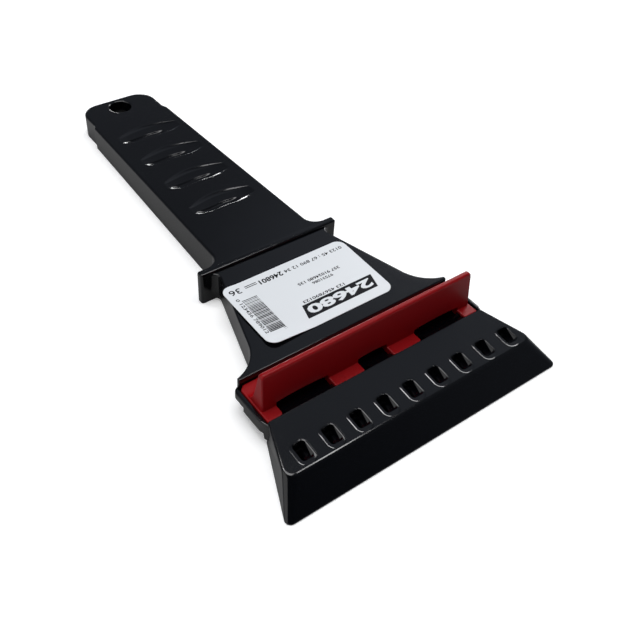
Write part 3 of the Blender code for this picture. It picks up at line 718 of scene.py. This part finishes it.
def gripShape():
    # a crescent: rear slope, terrace, step and dish, drawn around the middle of the tool
    slope, rise = grip["slope"], grip["rise"]
    edge = slope + grip["terrace"]
    floorEnd = edge + grip["step"] + grip["dish"]
    rings = []
    for c in range(grip["columns"] + 1):
        place = 2 * c / grip["columns"] - 1
        fade = 1 - abs(place) ** 3
        spread = mix(grip["endShare"], 1.0, fade)
        x = place * grip["halfWidth"] + grip["shift"]
        dish = max(0.0, 1 - ((x - grip["dishShift"]) / grip["dishHalf"]) ** 2)
        terrace = grip["terraceDepth"] * fade
        deep = mix(terrace, grip["dishDepth"], ramp(dish, 0.0, grip["dishEase"]))
        ends = grip["endRise"] * (1 - fade)
        profile = [(-slope * rise / grip["terraceDepth"], rise)]
        for t in (i / 6 for i in range(1, 7)):
            hollow = grip["slopeHollow"] * fade * sin(pi * t)
            profile.append((slope * t, mix(ends * t, -terrace + ends, t) - hollow))
        profile += [(mix(slope, edge, i / 3), ends - terrace) for i in range(1, 4)]
        for t in (i / 6 for i in range(1, 7)):
            profile.append((edge + grip["step"] * t, ends - mix(terrace, deep, ramp(t, 0.0, 1.0))))
        profile.append((floorEnd, ends - deep))
        for t in (i / 8 for i in range(1, 9)):
            profile.append((floorEnd + grip["front"] * t * grip["frontShare"],
                            mix(ends - deep, grip["frontRise"], ramp(t, grip["frontEase"], 1.0))))
        profile.append((floorEnd + grip["front"], rise))
        ring = []
        for s, z in profile:
            d = -grip["bow"] * place ** 2 - s * spread
            ring.append((x * mm, d * mm, (d * handleLean + z) * mm))
        rings.append(ring)
    return rings


windows = {"pitch": 30.0, "width": 5.0, "thickness": 1.4, "barb": 0.7, "setback": 6.0, "clear": 0.3,
           "lift": 0.5, "hook": 1.0, "legSink": 1.1}
windowLine = neckFront - windows["setback"]
windowPlaces = [step * windows["pitch"] + insert["shift"] for step in (-1, 0, 1)]


def windowCuts():
    halfX, halfD, clear = windows["width"] / 2, windows["thickness"] / 2, windows["clear"]
    front, back = windowLine - halfD - clear, windowLine + halfD + windows["barb"] + clear
    low, high = channelFloor - body["floor"] + under, channelFloor + windows["lift"]
    return [column(rectangle(x - halfX - clear, x + halfX + clear, front, back), low, high)
            for x in windowPlaces]


def makeBody():
    firstTooth = -(teeth["count"] - 1) / 2 * teeth["pitch"]
    pocketPlace = (firstTooth + pocket["shift"], toothLine + pocket["back"] - origin,
                   headTop(toothLine + pocket["back"]) - headTop(toothLine))
    firstGrip = toolLength - grip["setback"]

    def toothRow(name, shape, place):
        step = (teeth["pitch"], 0, 0)
        return layOut(name, solidMesh(name, [shape]), teeth["count"], place, step, blackPlastic)
    grips = layOut("gripCutter", solidMesh("gripCutter", [gripShape()]), grip["count"],
                   (0, firstGrip - origin, handleTop(firstGrip)),
                   (0, -grip["pitch"], -grip["pitch"] * handleLean), blackPlastic)
    shell = solid("bodyStock", [softPrism(handleOutline(), 0.0, handleTop, body["handleEdge"], 5)])
    neck = softPrism(neckOutline(), body["neckRelief"] / 2, lambda d: body["neckHeight"],
                     body["neckRounding"], 4)
    return carve("mouldedBody", shell, (
        (solid("neckStock", [neck]), add),
        (solid("trayStock", [trayBlock()]), add),
        (solid("headStock", [headSolid()]), add),
        (solid("reliefCutter", [reliefCut()]), cut),
        (solid("bayCutter", [headHollow()] + handleHollows() + neckHollows() + trayBays()), cut),
        (solid("underStock", headRibs() + [holeBoss()]), add),
        (toothRow("toothStock", toothShape(), (firstTooth, toothLine - origin, 0)), add),
        (toothRow("pocketCutter", pocketShape(), pocketPlace), cut),
        (toothRow("wellCutter", wellShape(), pocketPlace), cut),
        (grips, cut),
        (solid("openingCutter", [holeCut(), channelCut()]), cut),
        (solid("tongueCutter", [tongueCut()]), cut),
        (solid("snapCutter", windowCuts()), cut)))


def inPocket(edge):
    # the pockets keep their sharp inner corners
    for v in edge.verts:
        x, d, z = v.co.x / mm - pocket["shift"], v.co.y / mm + origin, v.co.z / mm
        x = abs(x - round(x / teeth["pitch"]) * teeth["pitch"])
        if x > pocket["sharpHalfX"] or abs(d - toothLine - pocket["sharpShift"]) > pocket["sharpHalfD"]:
            return False
        if not pocket["sharpLow"] < z < headTop(d) - pocket["sharpSink"]:
            return False
    return True


def finish(piece, material, bevel, angle, leave=None):
    # a small bevel on the edges that bend by more than the angle, then shading that keeps flat faces flat
    mergeWithin, flatAngle, faceWeight = 2e-6, 0.3, 80
    mesh = bmesh.new()
    mesh.from_mesh(piece.data)
    bmesh.ops.remove_doubles(mesh, verts=mesh.verts, dist=mergeWithin)
    bmesh.ops.dissolve_limit(mesh, angle_limit=radians(flatAngle), verts=mesh.verts, edges=mesh.edges)
    weight = mesh.edges.layers.float.new("bevel_weight_edge")
    for edge in mesh.edges:
        if len(edge.link_faces) == 2 and edge.calc_face_angle() > radians(angle):
            if leave and leave(edge):
                edge.smooth = False
            else:
                edge[weight] = 1.0
    name = piece.name
    mesh.to_mesh(piece.data)
    mesh.free()
    edges = piece.modifiers.new("Bevel", "BEVEL")
    edges.width = bevel * mm
    edges.segments = 2
    edges.limit_method = "WEIGHT"
    for face in piece.data.polygons:
        face.use_smooth = True
    weights = piece.modifiers.new("Normals", "WEIGHTED_NORMAL")
    weights.keep_sharp = True
    weights.weight = faceWeight
    done = bake(piece, name + "Done")
    discard(piece)
    done.name = name
    coatWith(done, material)
    return done


bodyPiece = finish(makeBody(), blackPlastic, bevel=0.22, angle=32, leave=inPocket)
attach(bodyPiece, "root")
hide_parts("scraper_body")
print("body made,", len(bodyPiece.data.polygons), "faces")


# ---- red upright blade

def plateOutline():
    half, corner = insert["width"] / 2, insert["corner"]
    endNick, nick = insert["endNick"], insert["midNick"]
    left, right = -half + insert["shift"], half + insert["shift"]
    front, back = headBack + insert["gap"], neckFront - insert["gap"]
    between = headBack + insert["finSetback"] + insert["recess"]
    end, start = tabs[0][1], tabs[3][0]
    outline = [(left, front), (end - endNick, front), (end, front + endNick), (end, between)]
    for a, b in tabs[1:3]:
        outline += [(a, between), (a, front + nick), (a + nick, front), (b - nick, front),
                    (b, front + nick), (b, between)]
    outline += [(start, between), (start, front + nick), (start + nick, front), (right, front),
                (right, back - corner), (right - corner, back), (left + corner, back),
                (left, back - corner)]
    return outline


def finShape():
    front = headBack + insert["finSetback"]
    base = insert["width"] / 2 - insert["endInset"]
    height, fillet, tip = insert["finHeight"], insert["rootFillet"], insert["finCorner"]
    backRoot = front + insert["finRoot"]
    backTop = front + insert["finLean"] + insert["finTop"]

    def ring(z, extra=0.0, pull=0.0, thin=0.0):
        # extra thickens the root at the back, pull shortens the ends and thin narrows both sides
        t = z / height
        low = mix(front, front + insert["finLean"], t) + thin
        high = mix(backRoot, backTop, t ** insert["finBow"]) + extra - thin
        half = base - insert["endDraft"] * t - pull
        left, right, r = -half + insert["shift"], half + insert["shift"], insert["finEdge"]
        corners = [(left + r, low), (right - r, low), (right, low + r), (right, high - r),
                   (right - r, high), (left + r, high), (left, high - r), (left, low + r)]
        return ringAt(corners, insert["top"] + z)
    rings = [[(x, y, z - insert["plate"] / 2 * mm) for x, y, z in ring(0.0, fillet)]]
    rings += [ring(fillet * inward, fillet * below) for inward, below in roundedSteps(8)]
    end = height - tip
    rings += [ring(mix(fillet, end, i / 7)) for i in range(1, 7)]
    for inward, below in roundedSteps(7):
        rings.append(ring(end + tip * (1 - below), 0.0, tip * inward, insert["tipThin"] * inward ** 1.5))
    return rings


def recessCuts():
    # arched recesses in the fin's root over the ends of the tongues
    solids = []
    front, low, steps = headBack + insert["finSetback"], insert["top"] - insert["plate"], 16
    for before, after in zip(tabs, tabs[1:]):
        arch = [(after[0], low), (before[1], low)]
        for i in range(steps + 1):
            rise = insert["recessRise"] + insert["recessArch"] * sin(pi * i / steps)
            arch.append((mix(before[1], after[0], i / steps), insert["top"] + rise))
        solids.append([[(x * mm, yOf(d), z * mm) for x, z in arch]
                       for d in (front + under, front + insert["recess"])])
    return solids


def snapLegs():
    half, barb, hook = windows["thickness"] / 2, windows["barb"], windows["hook"]
    catch = channelFloor - body["floor"] - windows["clear"]
    top = insert["top"] - windows["legSink"]
    profile = [(-half, catch - hook), (half / 2, catch - hook), (half + barb, catch), (half, catch),
               (half, top), (-half, top)]
    return [[[((x + side * windows["width"] / 2) * mm, yOf(windowLine + d), z * mm) for d, z in profile]
             for side in (-1, 1)] for x in windowPlaces]


def markCuts():
    # shallow round marks near the outer ends of the middle tabs
    radius, d, top = insert["markRadius"], headBack + insert["markSetback"], insert["top"]
    return [column(roundBox(side * insert["markPlace"] + insert["shift"], d, radius, radius,
                            insert["markCorner"]), top - insert["markSink"], top + over)
            for side in (-1, 1)]


def makeInsert():
    plate = solid("plateStock", [softPrism(
        plateOutline(), insert["top"] - insert["plate"], lambda d: insert["top"], insert["edge"], 4)])
    return carve("redBlade", plate, (
        (solid("finStock", [finShape()]), add), (solid("recessCutter", recessCuts()), cut),
        (solid("markCutter", markCuts()), cut), (solid("legStock", snapLegs()), add)))


insertPiece = finish(makeInsert(), redPlastic, bevel=0.15, angle=40)
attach(insertPiece, "root")
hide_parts("upright_blade")
print("red blade made")


# ---- label

label = {"width": 50.6, "length": 30.7, "corner": 3.4, "shift": -1.6, "setback": 8.7, "thickness": 0.16,
         "gap": 0.02, "cells": (24, 16), "lift": 1.1, "liftReach": (9.0, 6.0), "liftBow": 1.6,
         "liftShares": (0.6, 0.7, 0.9)}
labelMid = guardFront - label["setback"] - label["length"] / 2
labelLow = body["neckHeight"] + label["gap"]


def labelLift(x, d):
    # the front left corner has come up a little
    (reachX, reachD), bow, shares = label["liftReach"], label["liftBow"], label["liftShares"]
    u = (label["shift"] - label["width"] / 2 + reachX - x) / reachX
    v = (labelMid - label["length"] / 2 + reachD - d) / reachD
    near = max(0.0, min(1.0, u + shares[2]))
    return label["lift"] * (max(0.0, u) ** bow * shares[0] + max(0.0, v) ** bow * near * shares[1])


def bendLabel(piece):
    for v in piece.data.vertices:
        v.co.z += labelLift(v.co.x / mm, v.co.y / mm + origin) * mm


def makeLabel():
    # a grid clipped to the rounded outline, so that it can bend
    width, length, (columns, rows) = label["width"], label["length"], label["cells"]
    outline = roundBox(label["shift"], labelMid, width / 2, length / 2, label["corner"], 8)
    mesh = bmesh.new()
    bottom = mesh.faces.new([mesh.verts.new(p) for p in ringAt(outline, labelLow)])
    bottom.normal_update()
    xs = [(label["shift"] + (i / columns - 0.5) * width) * mm for i in range(1, columns)]
    ys = [yOf(labelMid + (i / rows - 0.5) * length) for i in range(1, rows)]
    for place, normal in [((x, 0, 0), (1, 0, 0)) for x in xs] + [((0, y, 0), (0, 1, 0)) for y in ys]:
        bmesh.ops.bisect_plane(mesh, geom=mesh.verts[:] + mesh.edges[:] + mesh.faces[:], dist=1e-7,
                               plane_co=place, plane_no=normal)
    stock = newObject("labelStock", meshData("labelStock", mesh))
    bendLabel(stock)
    thick = stock.modifiers.new("Thickness", "SOLIDIFY")
    thick.thickness = label["thickness"] * mm
    thick.offset = 1.0
    made = bake(stock, "adhesiveLabelFilm")
    discard(stock)
    coatWith(made, labelFilm)
    return made


def flatPatch(name, halfX, halfD, lean=0.0, cells=1):
    # a thin printed patch around the origin; lean slants its ends, cells let it follow the bend
    corners = ((-1, 0.0), (1, 0.0), (1, ink["height"]), (-1, ink["height"]))
    columns = [mix(-halfX, halfX, i / cells) for i in range(cells + 1)]
    return solidMesh(name, [[[((x + lean * side) * mm, side * halfD * mm, z * mm) for side, z in corners]
                             for x in columns]])


ink = {"height": 0.015, "sink": 0.002, "textDepth": 0.1, "block": (-8.6, 20.4, 53.3, 59.4),
       "blockLean": 0.8, "blockMargin": (1.2, 1.0), "blockLift": 0.7, "blockBold": 0.04}
# name, half sizes, count, place across and along the tool, pitch, thinnest share, seed, cells
patchRows = (
    ("labelBars", (2.9, 0.26), 30, (-20.4, 53.9), 0.61, 0.25, 11, 5),
    ("labelFootnotes", (2.3, 0.16), 2, (-16.5, 76.5), 0.75, 0.9, 5, 1))
# name, text, length, height, place across and along the tool, turn in degrees, boldness
numberRows = (
    ("codeNumber", "0123 45 : 67 890 12 34", 24.5, 1.45, 21.5, 77.1, 180, 0.012),
    ("boldNumber", "246801", 9.3, 2.2, -4.0, 77.4, 180, 0.03),
    ("cornerNumber", "36", 4.4, 2.6, -20.6, 77.8, 180, 0.01),
    ("lineOneNumbers", "357 91024680 135", 17.4, 1.3, 14.4, 69.0, 180, 0.02),
    ("lineTwoNumbers", "97531086", 8.6, 1.2, 10.2, 67.0, 180, 0.02),
    ("sizeNumbers", "123 4567890123", 17.1, 1.25, 10.6, 61.1, 180, 0.02),
    ("barNumber", "0 123456 789012", 18.3, 1.35, -24.95, 73.2, -90, 0.015))
inkBase = labelLow + label["thickness"] - ink["sink"]


def numbers(name, text, length, height, x, d, turn, bold):
    # plain numbers in Blender's own font, fitted to a length and a height
    curve = bpy.data.curves.new(name, "FONT")
    curve.body = text
    curve.offset = bold
    curve.extrude = ink["textDepth"]
    curve.resolution_u = 3
    stock = newObject(name + "Curve", curve)
    made = bake(stock, name)
    bpy.data.objects.remove(stock, do_unlink=True)
    bpy.data.curves.remove(curve)
    low, high = (Vector([pick(v.co[i] for v in made.data.vertices) for i in range(3)])
                 for pick in (min, max))
    wanted = (length, height, ink["height"])
    fit = Matrix.Diagonal([wanted[i] * mm / (high[i] - low[i]) for i in range(3)] + [1.0])
    place = Matrix.Translation((x * mm, yOf(d), inkBase * mm)) @ Matrix.Rotation(radians(turn), 4, "Z")
    made.data.transform(place @ fit @ Matrix.Translation(-low))
    return made


def printRow(name, size, count, place, pitch, thinnest, seed, cells):
    patch = flatPatch(name, *size, 0.0, cells)
    start = (place[0], place[1] - origin, inkBase)
    return layOut(name, patch, count, start, (0, pitch, 0), labelInk, thinnest, seed)


def printBlock():
    left, right, front, back = ink["block"]
    marginX, marginD = ink["blockMargin"]
    patch = flatPatch("labelBlock", (right - left) / 2, (back - front) / 2, ink["blockLean"], 12)
    middle = ((left + right) / 2, (front + back) / 2 - origin, inkBase)
    block = layOut("labelBlock", patch, 1, middle, (0, 0, 0), labelInk)
    number = numbers("blockNumber", "24680", right - left - 2 * marginX, back - front - 2 * marginD,
                     right - marginX, back - marginD, 180, ink["blockBold"])
    number.data.transform(Matrix.Translation((0, 0, ink["height"] * ink["blockLift"] * mm)))
    return block, number


def printed(piece, material):
    bendLabel(piece)
    coatWith(piece, material)
    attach(piece, "root")


labelPiece = makeLabel()
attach(labelPiece, "root")
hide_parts("label")
for row in patchRows:
    printed(printRow(*row), labelInk)
for row in numberRows:
    printed(numbers(*row), labelInk)
blockPiece, blockNumber = printBlock()
printed(blockPiece, labelInk)
printed(blockNumber, labelFilm)
print("label made")


# ---- floor, lamps, world and camera

floor = {"half": 4.0, "drop": 0.0002, "colour": (0.86, 0.86, 0.86, 1.0),
         "mirrored": (0.37, 0.37, 0.37, 1.0), "roughness": 0.9, "specular": 0.1,
         "glowReach": (0.3, 0.9), "glow": (0.3, 1.0)}


def makeFloor():
    # the camera sees the floor glow to plain white away from the tool; reflections see it grey
    half = floor["half"]
    mesh = bmesh.new()
    mesh.faces.new([mesh.verts.new((x, y, -floor["drop"])) for x, y in rectangle(-half, half, -half, half)])
    data = meshData("floor", mesh)
    made = bpy.data.materials.new("paleFloor")
    made.use_nodes = True
    tree = made.node_tree
    shader = tree.nodes["Principled BSDF"]
    rays = addNode(tree, "ShaderNodeLightPath")
    paint = addNode(tree, "ShaderNodeMix", {
        "Factor": rays["Is Glossy Ray"], "A": floor["colour"], "B": floor["mirrored"]}, data_type="RGBA")
    feed(tree, shader, {"Base Color": paint["Result"], "Roughness": floor["roughness"],
                        "Specular IOR Level": floor["specular"]})
    place = addNode(tree, "ShaderNodeTexCoord")["Object"]
    away = addNode(tree, "ShaderNodeVectorMath", {0: place}, operation="LENGTH")
    glow = addNode(tree, "ShaderNodeEmission", {
        "Strength": smooth(tree, away["Value"], *floor["glowReach"], *floor["glow"])})
    both = addNode(tree, "ShaderNodeAddShader", {0: shader.outputs["BSDF"], 1: glow["Emission"]})
    pick = addNode(tree, "ShaderNodeMixShader", {
        "Fac": rays["Is Camera Ray"], 1: shader.outputs["BSDF"], 2: both["Shader"]})
    feed(tree, tree.nodes["Material Output"], {"Surface": pick["Shader"]})
    data.materials.append(made)
    newObject("floor", data)


# name, direction from the tool, distance and width in metres, power, and the height of a strip
lamps = (
    ("overheadSoftbox", (-0.045, 0.033, 0.905), 0.907, 0.67, 5.4),
    ("sideSoftbox", (-1.0, 0.1, 0.5), 1.6, 1.6, 6.5),
    ("windowLamp", (0.768, 0.378, 0.518), 1.1, 0.55, 4.3, 0.23),
    ("backStrip", (0.47, 0.88, 0.06), 1.2, 0.24, 1.4, 0.15),
    ("frontEdgeLamp", (0.355, -0.233, 0.9), 0.995, 0.14, 0.8, 0.14),
    ("leftEdgeLamp", (-0.22, 0.35, 0.9), 0.99, 0.14, 0.8, 0.14))
lampAim = Vector((0, -0.03, 0))


def makeLamp(name, direction, distance, width, power, height=0.0):
    # a disc, or a strip where a height is given
    data = bpy.data.lights.new(name, "AREA")
    data.shape = "RECTANGLE" if height else "DISK"
    data.size = width
    if height:
        data.size_y = height
    data.energy = power
    lamp = newObject(name, data)
    lamp.location = lampAim + Vector(direction).normalized() * distance
    lamp.rotation_euler = (lamp.location - lampAim).to_track_quat("Z", "Y").to_euler()


studio = {"front": 0.035, "sky": 0.135, "skyWay": (0.9, 1.0, 0.0), "skyFade": (-0.62, 0.05),
          "patch": 0.21, "patchWay": (0.55, 0.42, 0.72), "patchFade": (0.92, 0.99), "horizon": 0.3,
          "horizonFade": (0.2, 0.0), "tint": (0.90, 0.98, 1.14, 1.0), "seen": (1.0, 1.0, 1.0, 1.0)}


def makeWorld():
    # the room is dim in front of the table and to its left, and has a soft pale patch at the upper right
    world = bpy.data.worlds.new("studio")
    bpy.context.scene.world = world
    world.use_nodes = True
    tree = world.node_tree
    seen = addNode(tree, "ShaderNodeLightPath")["Is Camera Ray"]
    ray = addNode(tree, "ShaderNodeTexCoord")["Generated"]

    def fade(way, span, low, high):
        dot = addNode(tree, "ShaderNodeVectorMath", {0: ray, 1: way}, operation="DOT_PRODUCT")
        return smooth(tree, dot["Value"], *span, low, high)
    room = fade(studio["skyWay"], studio["skyFade"], studio["front"], studio["sky"])
    patch = fade(Vector(studio["patchWay"]).normalized(), studio["patchFade"], 0.0, studio["patch"])
    low = fade((0, 0, 1), studio["horizonFade"], 0.0, studio["horizon"])
    light = reckon(tree, "MAXIMUM", reckon(tree, "ADD", room, patch), low)
    strength = addNode(tree, "ShaderNodeMix", {"Factor": seen, "A": light, "B": 1.0}, data_type="FLOAT")
    colour = addNode(tree, "ShaderNodeMix", {
        "Factor": seen, "A": studio["tint"], "B": studio["seen"]}, data_type="RGBA")
    feed(tree, tree.nodes["Background"], {"Color": colour["Result"], "Strength": strength["Result"]})


view = {"azimuth": -39.89, "elevation": 44.20, "roll": 4.76, "distance": 291.91, "aim": (3.73, 63.82, 0.0),
        "lens": 47.215, "sensor": 36.0, "near": 0.01}


def makeCamera():
    azimuth, elevation, roll = (radians(view[key]) for key in ("azimuth", "elevation", "roll"))
    turn = Matrix.Rotation(azimuth, 4, "Z") @ Matrix.Rotation(pi / 2 - elevation, 4, "X")
    turn = turn @ Matrix.Rotation(roll, 4, "Z")
    x, d, z = view["aim"]
    turn.translation = Vector((x * mm, yOf(d), z * mm)) + turn.col[2].to_3d() * view["distance"] * mm
    data = bpy.data.cameras.new("camera")
    data.sensor_width = view["sensor"]
    data.sensor_fit = "HORIZONTAL"
    data.lens = view["lens"]
    data.clip_start = view["near"]
    camera = newObject("camera", data)
    camera.matrix_world = turn
    bpy.context.scene.camera = camera


makeFloor()
makeWorld()
for row in lamps:
    makeLamp(*row)
makeCamera()
bpy.context.scene.view_settings.view_transform = "Standard"
print("stage ready")
